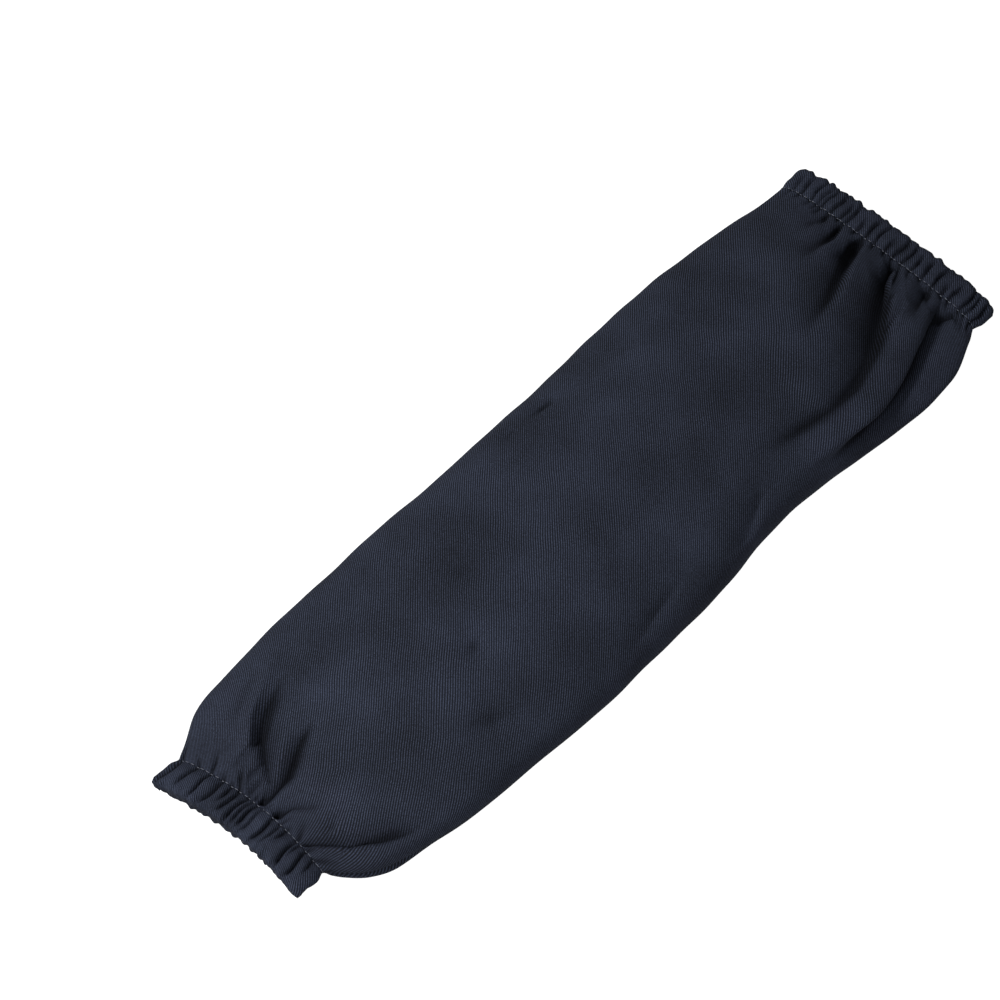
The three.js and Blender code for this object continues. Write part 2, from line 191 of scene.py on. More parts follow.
# %% The table of sections
# Each row is a place along the tube, as a share of its length from the wrist. left and right are shares of
# half its width, crown of its height and fold of the side folds' height. edge is how far in the upper
# layer's right edge lies, and tuck how much further in the crease below it lies, as shares of half the
# width.
SECTION_NAMES = ("along", "left", "right", "crown", "fold", "edge", "tuck")
SECTIONS = np.array(
    [
        (0.0, 0.78, 0.66, 0.62, 0.95, 0.12, -0.08),
        (0.04, 0.87, 0.77, 0.74, 0.95, 0.13, -0.09),
        (0.1, 0.9, 0.85, 0.86, 0.95, 0.15, -0.1),
        (0.2, 0.94, 0.93, 0.95, 1.0, 0.16, -0.1),
        (0.33, 0.97, 0.975, 1.0, 1.0, 0.16, -0.1),
        (0.5, 0.98, 0.965, 1.0, 1.0, 0.16, -0.1),
        (0.665, 1.04, 0.885, 0.98, 0.95, 0.14, -0.09),
        (0.73, 1.055, 0.91, 0.95, 0.95, 0.09, -0.03),
        (0.79, 1.06, 0.95, 0.93, 0.9, 0.09, 0.03),
        (0.846, 1.045, 0.98, 0.89, 0.85, 0.14, 0.05),
        (0.888, 1.03, 0.995, 0.85, 0.85, 0.215, 0.07),
        (0.924, 1.01, 0.985, 0.8, 0.85, 0.29, 0.07),
        (0.956, 0.985, 0.95, 0.74, 0.85, 0.32, 0.04),
        (1.0, 0.95, 0.89, 0.63, 0.9, 0.28, 0.01),
    ]
)
# Angles of the section's other points, from the right side over the top
UPPER_TURNS = np.radians([50, 70, 90, 110, 130, 150, 168])
LOWER_TURNS = np.radians([180, 190, 202, 215, 245, 270, 295, 325, 338, 350])
RIGHT_RISES = {"shoulder": 0.2, "crease": 0.35, "edge": 0.54}  # shares of the way from fold to crown
SHOULDER_SHARE = 0.35  # of the way in to the crease
UNDER_FOLD_TURN = math.radians(35)  # where the lower layer leaves the floor


def cubic(a, slope_a, b, slope_b, t):
    """A smooth curve from a to b with these slopes at its ends, where t goes from 0 to 1."""
    t2, t3 = t * t, t * t * t
    start = a * (2 * t3 - 3 * t2 + 1) + slope_a * (t3 - 2 * t2 + t)
    return start + b * (3 * t2 - 2 * t3) + slope_b * (t3 - t2)


def from_table(name, along):
    """A column of the table of sections on a smooth curve through its rows."""
    x = SECTIONS[:, 0]
    y = SECTIONS[:, SECTION_NAMES.index(name)]
    slope = np.zeros(len(x))
    slope[1:-1] = (y[2:] - y[:-2]) / (x[2:] - x[:-2])
    i = np.clip(np.searchsorted(x, along, side="right") - 1, 0, len(x) - 2)
    span = x[i + 1] - x[i]
    t = np.clip((along - x[i]) / span, 0, 1)
    return cubic(y[i], slope[i] * span, y[i + 1], slope[i + 1] * span, t)


def closed_curve(points, per_span=14):
    """Points on a smooth closed curve through the given ones."""
    before, here = np.roll(points, 1, 0), points
    after, later = np.roll(points, -1, 0), np.roll(points, -2, 0)

    def gap(a, b):
        return np.sqrt(np.linalg.norm(b - a, axis=1))[:, None] + 1e-9

    g1, g2, g3 = gap(before, here), gap(here, after), gap(after, later)
    start = ((here - before) / g1 - (after - before) / (g1 + g2) + (after - here) / g2) * g2
    end = ((after - here) / g2 - (later - here) / (g2 + g3) + (later - after) / g3) * g2
    t = np.linspace(0, 1, per_span, endpoint=False)[None, :, None]
    curve = cubic(here[:, None], start[:, None], after[:, None], end[:, None], t)
    return curve.reshape(-1, points.shape[1])


def even_points(curve, count):
    """count points spaced evenly round a closed curve."""
    closed = np.vstack([curve, curve[:1]])
    length = np.concatenate([[0], np.cumsum(np.linalg.norm(np.diff(closed, axis=0), axis=1))])
    at = np.linspace(0, length[-1], count, endpoint=False)
    return np.column_stack([np.interp(at, length, closed[:, k]) for k in range(closed.shape[1])])


def tube_section(along):
    """The tube's outer surface across one place, from the right fold over the top, as (y, z) in mm."""
    half = BODY_WIDTH / 2
    value = {name: float(from_table(name, along)) for name in SECTION_NAMES[1:]}
    left, right = value["left"] * half, value["right"] * half
    crown = value["crown"] * BODY_HEIGHT
    fold = value["fold"] * SIDE_FOLD_HEIGHT
    edge = value["edge"] * half
    crease = edge + value["tuck"] * half
    side = [
        (-right, fold),
        (SHOULDER_SHARE * crease - right, mix(fold, crown, RIGHT_RISES["shoulder"])),
        (crease - right, mix(fold, crown, RIGHT_RISES["crease"])),
        (edge - right, mix(fold, crown, RIGHT_RISES["edge"])),
    ]
    upper = [
        (-math.cos(a) * (right if a < math.pi / 2 else left), mix(fold, crown, math.sin(a)))
        for a in UPPER_TURNS
    ]
    lower = []
    for a in LOWER_TURNS:
        down = min(1, min(a - math.pi, 2 * math.pi - a) / UNDER_FOLD_TURN)
        reach = right if a > 1.5 * math.pi else left
        lower.append((-math.cos(a) * reach, fold * (1 - math.sin(down * math.pi / 2))))
    section = even_points(closed_curve(np.array(side + upper + lower)), COLUMNS)
    section[:, 1] = np.maximum(section[:, 1], 0)
    return section


round_mm = [float(np.linalg.norm(np.diff(tube_section(a), axis=0), axis=1).sum()) for a in (0.2, 0.5, 0.85)]
print("the tube measures", np.round(round_mm), "mm round at three places")

# %% [markdown]
# ## The two cuffs as rings
# On the real sleeve the elastic sets the shape of a cuff. Each layer of the hem could be drawn by itself,
# but the cloth, the lining, the elastic and the stitches have to follow each other. So each cuff is a
# flattened ring through the middle of its elastic, and everything in it has a distance behind the rim and
# from that ring.

# %% Rings through the elastic
TURN = np.arange(COLUMNS) / COLUMNS
RING_POINTS = 24
RING_SPAN = 40  # steps of the curve between two of them
RING_FULLNESS = 0.8  # 1 is an ellipse, and less is fuller at the sides


def make_ring(cuff):
    """Work out the ring's points and outward directions, as (y, z), its middle and its length round."""
    half_width = cuff["width"] / 2 - CHANNEL - SOLID_CLOTH - cuff["depth"] / 2
    half_height = cuff["mouth"] / 2 + STACK
    centre = half_height + CHANNEL + SOLID_CLOTH + FLOOR_SHARE * cuff["depth"]
    a = np.linspace(0, 2 * math.pi, RING_POINTS, endpoint=False)
    rise = np.sign(np.sin(a)) * np.abs(np.sin(a)) ** RING_FULLNESS
    outline = np.column_stack([CUFF_OFFSET - half_width * np.cos(a), centre + half_height * rise])
    points = even_points(closed_curve(outline, RING_SPAN), COLUMNS)
    tangent = np.roll(points, -1, 0) - np.roll(points, 1, 0)
    outward = np.column_stack([-tangent[:, 1], tangent[:, 0]])
    outward /= np.linalg.norm(outward, axis=1)[:, None]
    cuff.update(points=points, outward=outward, centre=centre)
    cuff.update(half_width=half_width, half_height=half_height)
    cuff["round"] = float(np.linalg.norm(np.diff(points, axis=0), axis=1).sum())


def on_cuff(cuff, behind_rim, distance):
    """Points of a cuff at distances behind its rim and from its ring, which may differ between columns."""
    points = cuff["points"]
    across = (points[:, 0] - CUFF_OFFSET) / cuff["half_width"]
    lean = cuff["slant"] * (cuff["centre"] - points[:, 1]) / (2 * cuff["half_height"])
    bow = cuff["bow"] * (1 - across**2)
    from_middle = SLEEVE_LENGTH / 2 - behind_rim - bow + cuff["skew"] * across - lean
    yz = points + cuff["outward"] * np.asarray(distance).reshape(-1, 1)
    return np.column_stack([cuff["to_rim"] * from_middle, yz])


for name, cuff in CUFFS.items():
    make_ring(cuff)
    gathered = round(cuff["round"] / CLOTH_ROUND, 2)
    print(name, "cuff:", round(cuff["round"]), "mm round, the cloth gathered to", gathered)

# %% [markdown]
# ## Creases of the gathers
# Elastic that is sewn in stretched and let go leaves flat panels of cloth between narrow deep creases, about
# 5 mm apart. Some creases run on from the hem far into the tube and fade, and most end after a few
# millimetres. A cloth simulation could gather the cloth, but it would put its creases anywhere. So the ones
# that can be seen on the real sleeve are listed one by one, and a seeded generator fills the rest of the cuff
# with others.

# %% Places, depths and lengths of the creases
rng = np.random.default_rng(7)
# Creases on the upper layer, in mm: left of the middle at the stitches, run into the hem, run into the tube,
# and drift, which is how far left they have moved after 10 mm towards the tube.
LONG_CREASES = {
    "wrist": [
        (49, 16, 5, 0.0), (43.5, 16, 9, 0.0), (36, 12, 4, 0.6), (28.5, 16, 10, 0.3), (21.5, 16, 4, 0.4),
        (17.5, 9, 3, 0.0), (13.8, 13, 14, -3.0), (8.5, 16, 3, 0.5), (3.5, 14, 11, -1.0), (-6, 16, 9, -2.5),
        (-13.5, 7, 4, 0.8), (-20.5, 16, 13, -6.0), (-27, 15, 7, -5.0), (-36, 16, 7, -2.0),
    ],
    "arm": [
        (56, 14, 5, 0.0), (49, 16, 6, 0.6), (42, 16, 9, -0.5), (36, 16, 14, 0.3), (30, 12, 4, 0.3),
        (26, 16, 26, -0.6), (19.5, 9, 5, -0.3), (14, 16, 34, -2.6), (7.5, 16, 6, 0.3), (1.0, 10, 5, -0.6),
        (-4.5, 16, 8, -0.4), (-10.0, 16, 34, -1.0), (-16, 12, 7, -0.8), (-22.5, 14, 4, 0.4),
        (-29, 16, 16, -0.8), (-36, 8, 4, -0.4), (-40, 12, 6, 0.3), (-47, 16, 10, 1.5), (-54, 16, 8, -0.5),
    ],
}
PANEL_WIDTH = {"wrist": 4.4, "arm": 5.4}  # mm from crease to crease
PANEL_JITTER = 0.3  # share of it by which other creases lie off even places
PANEL_ROOM = 0.5  # share of it kept free beside an earlier crease
OTHER_DEPTHS = (0.5, 0.9)  # shares of a long crease's depth
OTHER_DRIFTS = (-0.12, 0.12)  # mm sideways for each mm towards the tube
OTHER_HEM_RUNS = [7, 12, 16]  # mm into the hem
OTHER_TUBE_RUNS = (4, 13)  # mm into the tube
STEEP_WIDTHS = (0.4, 0.55)  # mm, of a crease's steep side
GENTLE_WIDTHS = (0.6, 1.6)  # mm, of its gentle side


def place_creases(name, cuff):
    """List the creases round one cuff, the long ones from the list and the others where there is room."""
    top = slice(0, COLUMNS // 2 + 1)
    creases = []
    for left, into_hem, into_tube, drift in LONG_CREASES[name]:
        turn = float(np.interp(-left, -cuff["points"][top, 0][::-1], TURN[top][::-1]))
        creases.append({"turn": turn, "depth": 1.0, "hem": into_hem, "tube": into_tube, "drift": -drift / 10})
    count = int(cuff["round"] / PANEL_WIDTH[name])
    for k in range(count):
        turn = (k + rng.uniform(-PANEL_JITTER, PANEL_JITTER)) / count % 1
        nearest = min(abs((turn - c["turn"] + 0.5) % 1 - 0.5) for c in creases) * cuff["round"]
        if nearest > PANEL_ROOM * PANEL_WIDTH[name]:
            crease = {"turn": turn, "depth": rng.uniform(*OTHER_DEPTHS), "drift": rng.uniform(*OTHER_DRIFTS)}
            crease["hem"] = rng.choice(OTHER_HEM_RUNS)
            crease["tube"] = rng.uniform(*OTHER_TUBE_RUNS)
            creases.append(crease)
    for crease in creases:
        crease["side"] = rng.choice([-1, 1])
        crease["steep"] = rng.uniform(*STEEP_WIDTHS)
        crease["gentle"] = rng.uniform(*GENTLE_WIDTHS)
    cuff["creases"] = creases


for name, cuff in CUFFS.items():
    place_creases(name, cuff)
    print(name, "cuff:", len(cuff["creases"]), "creases")

# %% Depth of the creases at a place
WOBBLE = 0.45  # how far a crease wanders to either side
WOBBLE_LENGTH = 2.6  # mm along the crease for one radian
WOBBLE_TURNS = 40  # sets off neighbours' wobbles
HEM_DRIFT = 0.12  # share of its drift that a crease has in the hem
HEM_FADE = 9  # mm over which a crease fades in the hem
HEM_LEFT = 0.35  # how far up the fade a crease still is at its end
WIDENING = 8  # mm into the tube over which a crease gets twice as wide
CREASE_POWER = 1.3  # 2 is a bell curve, and less has a sharper bottom


def crease_cut(cuff, into_tube):
    """How deep the creases are at each column, from 0 on a panel to 1. into_tube is in mm, below 0 in the
    hem. One side of each crease is steep and the other gentle, as where one panel leans over the next."""
    cut = np.zeros(COLUMNS)
    for crease in cuff["creases"]:
        wobble = WOBBLE * math.sin(into_tube / WOBBLE_LENGTH + WOBBLE_TURNS * crease["turn"])
        drifted = crease["drift"] * (into_tube if into_tube > 0 else HEM_DRIFT * into_tube) + wobble
        moved = TURN - crease["turn"] - drifted / cuff["round"]
        away = ((moved + 0.5) % 1 - 0.5) * cuff["round"]
        if into_tube < 0:
            fade = ease((crease["hem"] + into_tube) / HEM_FADE + HEM_LEFT)
        else:
            fade = 1 - ease(into_tube / crease["tube"])
        widen = 1 + max(into_tube, 0) / WIDENING
        width = np.where(away * crease["side"] > 0, crease["steep"], crease["gentle"]) * widen
        cut = np.maximum(cut, crease["depth"] * fade * np.exp(-np.abs(away / width) ** CREASE_POWER))
    return cut


for name, cuff in CUFFS.items():
    covered = (crease_cut(cuff, 0) > 0.5).mean()
    print(name, "stitches: creases cover", round(float(covered), 2), "of the round")

# %% [markdown]
# ## Folds of the tube
# A few broad valleys start at the long creases and wander into the tube, and some small dents lie where the
# cloth was folded in its packet. They could be sculpted, but a path over the upper layer, with a width and a
# depth at every point, can be read and changed, and its slopes stay smooth.

# %% Paths of the folds
# Each point of a path, in mm: along from the middle, left of the middle, the slope's width on the left and
# on the right, and depth, which is below 0 for a ridge.
FOLDS = {
    "arm_valley_left": [
        (213, 13, 1.5, 1.5, 3.5), (205, 11.5, 3.5, 1.6, 8), (196, 9, 6, 2, 9.5), (182, 4, 9, 3, 8),
        (166, -2, 11, 5, 4.5), (131, -10, 12, 9, 0),
    ],
    "arm_valley_main": [
        (213, -10, 1.5, 1.5, 3.5), (207, -8.5, 3, 1.6, 8), (198, -12, 6, 2.2, 10), (186, -21, 12, 3.5, 10),
        (170, -31, 15, 4.5, 9), (154, -38, 15, 5.5, 7), (137, -43, 13, 6, 5.5), (118, -44, 10, 7, 3.2),
        (96, -41, 6, 5, 2.2), (62, -37, 5, 6, 0),
    ],
    "arm_valley_right": [
        (213, -29, 2, 1.5, 2), (207, -30, 4, 2.5, 5), (198, -33, 6, 4, 4.5), (184, -38, 7, 5, 0),
    ],
    "arm_lobe_crease": [
        (213, -46, 1.5, 1.5, 3), (208, -47, 2, 2, 6.5), (201, -44, 2.5, 3, 6.5), (194, -41, 2, 3, 0),
    ],
    "arm_small_left": [
        (211, 26, 2, 1.5, 1.8), (199, 24, 5, 2, 3.8), (186, 24, 7, 3, 2.6), (172, 24, 8, 5, 0),
    ],
    "arm_small_far": [(211, 36, 2, 1.5, 1.2), (200, 37, 4, 2.5, 1.8), (188, 36, 6, 5, 0)],
    "packet_dent": [(30, 53, 3, 3, 0.6), (25, 54, 3, 2, 2.6), (20, 54, 3, 2, 2.2), (14, 55, 3, 3, 0)],
    "small_dent": [(-1, 54, 3, 2, 1.6), (-7, 56, 3, 3, 0)],
    "side_crease": [(64, -44, 4, 3, 0.5), (53, -53, 6, 2.5, 2.6), (38, -60, 6, 2.5, 2.4), (20, -60, 5, 4, 0)],
    "side_dent": [(0, -55, 5, 3, 0.4), (-20, -57, 6, 3, 2.4), (-36, -61, 6, 3, 1.6), (-50, -66, 5, 5, 0)],
    "middle_crease": [(-90, -6, 3, 3, 0), (-96, -16, 4, 2, 1.5), (-100, -29, 4, 3, 0)],
    "upper_crease": [(-76, 22, 4, 4, 0), (-72, 13, 4, 2.5, 1.3), (-70, 3, 4, 3, 0)],
    "wrist_long_soft": [(-90, -52, 9, 6, 0), (-112, -44, 9, 6, 2.2), (-136, -34, 8, 6, 0)],
    "wrist_ridge": [
        (-150, 50, 5, 5, 0), (-168, 41, 5, 3, -2.2), (-184, 33, 4.5, 2.2, -3.6), (-190, 28, 4, 2, -3.4),
        (-195, 23, 3, 2, -3), (-198, 24, 3, 2, -2.4), (-204, 27, 2.5, 2, -1.2),
    ],
    "wrist_ridge_foot": [
        (-160, 36, 3, 8, 0), (-176, 31, 3, 10, 3.6), (-187, 24, 3, 9, 6), (-193, 15, 4, 7, 6.4),
        (-198, 6, 4, 4, 5),
    ],
    "wrist_hook": [
        (-201, 24, 2, 2, 0), (-202, 20, 2.2, 2, -1.6), (-203, 16, 2.2, 1.5, -2.2), (-206, 14, 2.2, 1.5, -2),
        (-211, 13, 2, 1.5, -1),
    ],
    "wrist_branch": [(-212, 10.5, 1.5, 2, 2), (-206, 9.5, 2, 3, 3), (-200, 9, 3, 4, 3.4), (-196, 8, 3, 3, 3)],
    "wrist_valley": [
        (-212, 3, 2, 1.5, 2), (-202, 1, 5, 2.2, 6), (-191, 1, 6, 3, 7.5), (-186, 3, 6, 3, 7.5),
        (-178, 7, 6, 3.5, 5.5), (-167, 11, 6, 5, 0),
    ],
    "wrist_valley_right": [
        (-212, -6, 2, 1.5, 2.2), (-206, -7, 4, 1.8, 5), (-200, -10, 3, 1.8, 3.6), (-195, -17, 3, 2, 2),
        (-190, -24, 3, 3, 0),
    ],
    "wrist_mound_edge": [(-205, -4, 3, 3, 1), (-200, -6, 3, 3, 2.2), (-189, -11, 4, 4, 0)],
    "wrist_dimple": [(-194, -24, 3, 3, 0), (-195, -29, 4, 3, 3), (-200, -30, 4, 3, 2), (-206, -24, 3, 3, 0)],
    "wrist_low_crease": [
        (-212, -20, 2, 1.5, 2), (-205, -26, 2.5, 1.5, 4.4), (-200, -32, 3.5, 1.5, 5.4),
        (-194, -40, 4.5, 1.6, 5), (-184, -47, 5, 1.8, 4.2), (-172, -53, 6, 2.5, 2.8), (-155, -60, 5, 5, 0),
    ],
    "wrist_low_right": [(-212, -36, 2, 2, 1.8), (-206, -40, 2, 2, 2.4), (-200, -45, 3, 3, 0)],
}
FOLD_POWER = 1.35  # as for the creases
SIDE_CHANGE = 1.5  # mm over which one slope turns into the other


def sink(x, y):
    """How far the upper layer sinks at each place, in mm. Ridges count as rising."""
    down = np.zeros_like(x)
    up = np.zeros_like(x)
    for path in FOLDS.values():
        path = np.array(path, float)
        for (x0, y0, *start), (x1, y1, *end) in zip(path[:-1], path[1:]):
            run = np.array([x1 - x0, y1 - y0])
            t = np.clip(((x - x0) * run[0] + (y - y0) * run[1]) / (run @ run), 0, 1)
            away = np.hypot(x - (x0 + t * run[0]), y - (y0 + t * run[1]))
            left, right, depth = (mix(a, b, t) for a, b in zip(start, end))
            side = ease(0.5 + (y - (y0 + t * run[1])) / SIDE_CHANGE)
            slope = depth * np.exp(-((away / mix(right, left, side)) ** FOLD_POWER))
            down = np.maximum(down, slope)
            up = np.minimum(up, slope)
    return down + up


def soft_waves(u, v, seed, size, height, count=24):
    """Gentle unevenness of cloth: waves of about the given size and height in mm, closed round the sleeve."""
    waves = np.random.default_rng(seed)
    total = np.zeros_like(u)
    for _ in range(count):
        angle, phase = waves.uniform(0, math.pi), waves.uniform(0, 2 * math.pi)
        per_turn = round(CLOTH_ROUND * math.cos(angle) / size)
        total += np.sin(2 * math.pi * (per_turn * u / CLOTH_ROUND + v * math.sin(angle) / size) + phase)
    return height * total / math.sqrt(count)


print(len(FOLDS), "folds and dents")

# %% [markdown]
# ## The cloth, row by row
# The cloth starts at the raw edge inside the wrist hem, runs out to the rim, turns, passes the stitches, and
# goes along the tube to the other hem in the same way. Three objects that only touch would show a gap at the
# stitches, so the hems' first rows are also the tube's end rows. Rows are close together near the gathers
# and further apart in the middle.

# %% Rows of the tube
TOP_RISE = 1.2  # 2 counts only the very top as the upper layer
STITCHED_DISTANCE = (1.3, 2.3)  # mm from the ring to the stitched cloth, below and on top
ROW_STEPS = (1.0, 4.4)  # mm from row to row, at the stitches and in the middle
ROW_STEPS_CHANGE = 75  # mm over which they grow
OPENING_LENGTH = 30  # mm over which the tube takes on its own section


def top_share(cuff):
    """0 underneath a cuff and 1 on its upper layer."""
    return ease((cuff["outward"][:, 1] + 1) / TOP_RISE)


def upper_share(cuff):
    """1 on the upper layer of a cuff, less below, where the gathers are pressed flat."""
    return mix(FLOOR_SHARE, 1, top_share(cuff))


def stitched_distance(cuff):
    """Distance in mm from a cuff's ring to the cloth on its line of stitches."""
    return mix(*STITCHED_DISTANCE, top_share(cuff))


def nearest_cuff(place):
    """The cuff at the nearer end of the tube."""
    return CUFFS["wrist" if place < BODY_LENGTH / 2 else "arm"]


def body_places():
    """Distances from the wrist stitches, in mm, with small steps near both ends."""
    half = [0.0]
    while half[-1] < BODY_LENGTH / 2:
        half.append(half[-1] + mix(*ROW_STEPS, ease(half[-1] / ROW_STEPS_CHANGE)))
    half = np.array(half) * (BODY_LENGTH / 2 / half[-1])
    return np.concatenate([half, BODY_LENGTH - half[-2::-1]])


def body_rows(places):
    """The tube's smooth surface, blended into the rings of both cuffs, in mm."""
    rows = []
    for place in places:
        cuff = nearest_cuff(place)
        from_cuff = min(place, BODY_LENGTH - place)
        open_share = ease(math.sqrt(from_cuff / OPENING_LENGTH))
        section = tube_section(place / BODY_LENGTH)
        open_tube = np.column_stack([np.full(COLUMNS, place - BODY_LENGTH / 2), section])
        stitched = on_cuff(cuff, CASING_WIDTH, stitched_distance(cuff))
        stitched[:, 0] -= cuff["to_rim"] * from_cuff
        rows.append(mix(stitched, open_tube, open_share))
    return np.array(rows)


PLACES = body_places()
smooth_tube = body_rows(PLACES)
print(len(PLACES), "rows in the tube")

# %% [markdown]
# ## Gathers and folds of the tube
# The real creases close at the top, so hardly any light gets in and they look black. A mesh has to keep its
# creases open, or the cloth would cut through itself. So the shape's own depth is also kept as a number from
# 0 to 1 at each point, the painted shade, and the cloth's colour is painted darker where it is high.

# %% Folds, dents and waves
FOLDS_START = 3.5  # mm over which the folds reach their depth
FOLDS_RISE = 0.7  # share of the side folds' height over which they set in
SHADED_FOLD = 7.5  # mm deep, where a fold's shade is full
SHADE_POWER = 1.5  # more keeps it at the bottom of a fold
MOST_SHADE = 0.9
HOLLOW_DEPTH = 1.3  # mm, where a hollow's shade is full
HOLLOW_REACH = 12  # columns on each side that count as the surroundings
WAVES = [(11, 70, 0.5), (12, 26, 0.16)]  # seed, size and height in mm


def outward_of(grid):
    """Outward directions of a grid of rows that close round the sleeve."""
    along = np.gradient(grid, axis=0)
    around = np.roll(grid, -1, 1) - np.roll(grid, 1, 1)
    normal = np.cross(along, around)
    return normal / np.linalg.norm(normal, axis=2)[:, :, None]


def hollowness(grid, outward):
    """0 where the cloth is flat or bulges, up to 1 where it lies far below its surroundings."""
    steps = range(-HOLLOW_REACH, HOLLOW_REACH + 1)
    average = sum(np.roll(grid, k, 1) for k in steps) / len(steps)
    return np.clip(((average - grid) * outward).sum(2) / HOLLOW_DEPTH, 0, 1)


def fold_depth(grid):
    """How far each point sinks into the folds, which only the upper layer has."""
    above = ease((grid[:, :, 2] - SIDE_FOLD_HEIGHT) / (FOLDS_RISE * SIDE_FOLD_HEIGHT))
    return above * sink(grid[:, :, 0], grid[:, :, 1])


def unevenness(grid, places):
    """How far each point lies above or below even cloth, in mm."""
    u = np.broadcast_to(TURN * CLOTH_ROUND, grid.shape[:2])
    v = np.broadcast_to(places[:, None], grid.shape[:2])
    return sum(soft_waves(u, v, seed, size, height) for seed, size, height in WAVES)


print("the folds are up to", round(float(fold_depth(smooth_tube).max()), 1), "mm deep")

# %% Gathers
CREASE_DEPTHS = (1.6, 3.2)  # mm, at the stitches and a few mm away from them
CREASE_DEEPENS = 6  # mm over which they do so in the tube
CREASE_EASES = 40  # mm over which they lose a share
CREASE_LOSS = 0.4
GATHER_REACH = 60  # mm from the stitches
PUFF = 0.7  # mm that the panels stand out beyond the stitches
PUFF_RISE = 2  # mm in which most of that is reached
PUFF_REACH = 32  # mm, where it ends


def gathers(places):
    """How far panels stand out and creases cut in, in mm, and the shade of the creases."""
    lift, shade = np.zeros((2, len(places), COLUMNS))
    for row, place in enumerate(places):
        reach = min(place, BODY_LENGTH - place)
        if reach <= GATHER_REACH:
            cuff = nearest_cuff(place)
            puff = PUFF * (1 - math.exp(-reach / PUFF_RISE)) * (1 - ease(reach / PUFF_REACH))
            depth = mix(*CREASE_DEPTHS, ease(reach / CREASE_DEEPENS))
            depth *= 1 - CREASE_LOSS * ease(reach / CREASE_EASES)
            cut = crease_cut(cuff, reach)
            lift[row] = upper_share(cuff) * (puff - depth * cut)
            shade[row] = cut * upper_share(cuff)
    return lift, shade


print("the gathers cut in up to", round(float(-gathers(PLACES)[0].min()), 1), "mm")

# %% The shaped tube
GROOVE = {"depth": 2.4, "below_fold": 1.5, "width": 1.3}  # mm
STRIP = {"share": 0.6, "below_fold": 4, "width": 2}  # it stands out by this share of the groove's depth
STRIP_RISE = 4  # mm over which both start
STRIP_FADE = (22, 28)  # mm to its fade, and the fade's length
WAVES_START = 20  # mm over which unevenness sets in
RING_REACH = 10  # mm over which gathers stand out from the ring
SEAM_COLUMNS = (276, 283)  # two lines of stitches along the underside
SEAM_GROOVE = {"depth": 0.35, "columns": 2, "start": 6}
FLOOR_GAP = 0.02


def bell(offset, width):
    """A bell curve, 1 at its middle."""
    return np.exp(-((offset / width) ** 2))


def lower_strip(grid, places):
    """Near the wrist the lower layer shows as a thin strip below the right side, behind a groove."""
    length = np.linalg.norm(np.diff(grid, axis=1, append=grid[:, :1]), axis=2).sum(1)[:, None]
    above_fold = ((TURN[None] + 0.5) % 1 - 0.5) * length
    groove = bell(above_fold + GROOVE["below_fold"], GROOVE["width"])
    strip = bell(above_fold + STRIP["below_fold"], STRIP["width"])
    fade_start, fade_length = STRIP_FADE
    started = ease(places / STRIP_RISE)[:, None]
    left = 1 - ease((places - fade_start) / fade_length)[:, None]
    return -GROOVE["depth"] * (groove - STRIP["share"] * strip) * started * left


def shape_tube(places, smooth):
    """The tube with its folds, gathers and unevenness, in mm, and its shade."""
    grid = smooth.copy()
    from_cuff = np.minimum(places, BODY_LENGTH - places)[:, None]
    sunk = fold_depth(grid)
    gather_lift, gather_shade = gathers(places)
    grid[:, :, 2] -= sunk * ease(from_cuff / FOLDS_START)
    outward = outward_of(grid)
    lift = unevenness(grid, places) * ease(from_cuff / WAVES_START) + gather_lift + lower_strip(grid, places)
    ring = np.array([nearest_cuff(place)["outward"] for place in places])
    ring = np.concatenate([np.zeros(ring.shape[:2] + (1,)), ring], axis=2)
    direction = mix(ring, outward, ease(from_cuff / RING_REACH)[:, :, None])
    direction /= np.linalg.norm(direction, axis=2)[:, :, None]
    grid += direction * lift[:, :, None]
    # the shade is painted into the cloth's colour: painted shade in folds, gathers and hollows
    shade = np.maximum(MOST_SHADE * np.clip(sunk / SHADED_FOLD, 0, 1) ** SHADE_POWER, gather_shade)
    shade = np.maximum(shade, MOST_SHADE * hollowness(grid, outward))
    grid[:, :, 2] = np.maximum(grid[:, :, 2], FLOOR_GAP)
    for column in SEAM_COLUMNS:
        groove = bell(np.arange(COLUMNS) - column, SEAM_GROOVE["columns"])
        grid[:, :, 2] += SEAM_GROOVE["depth"] * groove * ease(from_cuff / SEAM_GROOVE["start"])
    return grid, shade


tube, tube_shade = shape_tube(PLACES, smooth_tube)
print("the tube reaches", round(float(tube[:, :, 2].max()), 1), "mm high")

# %% [markdown]
# ## The hems
# From the stitches the cloth rises over the elastic, runs flat to the rim and turns in. At the rim each
# panel bulges out a little and each crease draws in, which gives the scalloped edge. Inside, the lining
# layer lies on the elastic with shallower creases. A hem could be a plain band with a bump pattern, but its
# creases reach its outline, so they have to be in the mesh.

# %% Profile of a hem
# Points of the profile: layer, mm behind the rim, and for the rim its share of the outer layer's distance
# from the ring and of its creases' depth.
HEM_PROFILE = (
    [("outer", behind, None, None) for behind in np.linspace(CASING_WIDTH, 2.2, 15)]
    + [("outer", 1.3, None, None), ("outer", 0.6, None, None)]
    + [("rim", 0.15, 0.72, 0.8), ("rim", 0.0, 0.35, 0.6), ("rim", 0.0, -0.2, 0.5), ("rim", 0.3, -0.7, 0.5)]
    + [("lining", behind, None, None) for behind in np.concatenate([[0.9, 1.8], np.linspace(3, 15.5, 11)])]
)
HEM_CHANGE = 5  # mm from stitches or rim over which the hem changes
HEM_RISE = 1.5  # mm higher over the elastic than at the stitches
TILT_RISE = 0.4  # mm more or less for single panels
RIM_ROUNDING = {"share": 0.3, "reach": 2.4}
RIM_CREASE_DEPTH = 2.8
RIM_DRAWN_IN = 1.5  # mm, by a crease of full depth
RIM_PLACE = 0.2  # mm behind the rim's nominal place
RUFFLE = (31, 5.2, 0.8)  # seed, size and height in mm
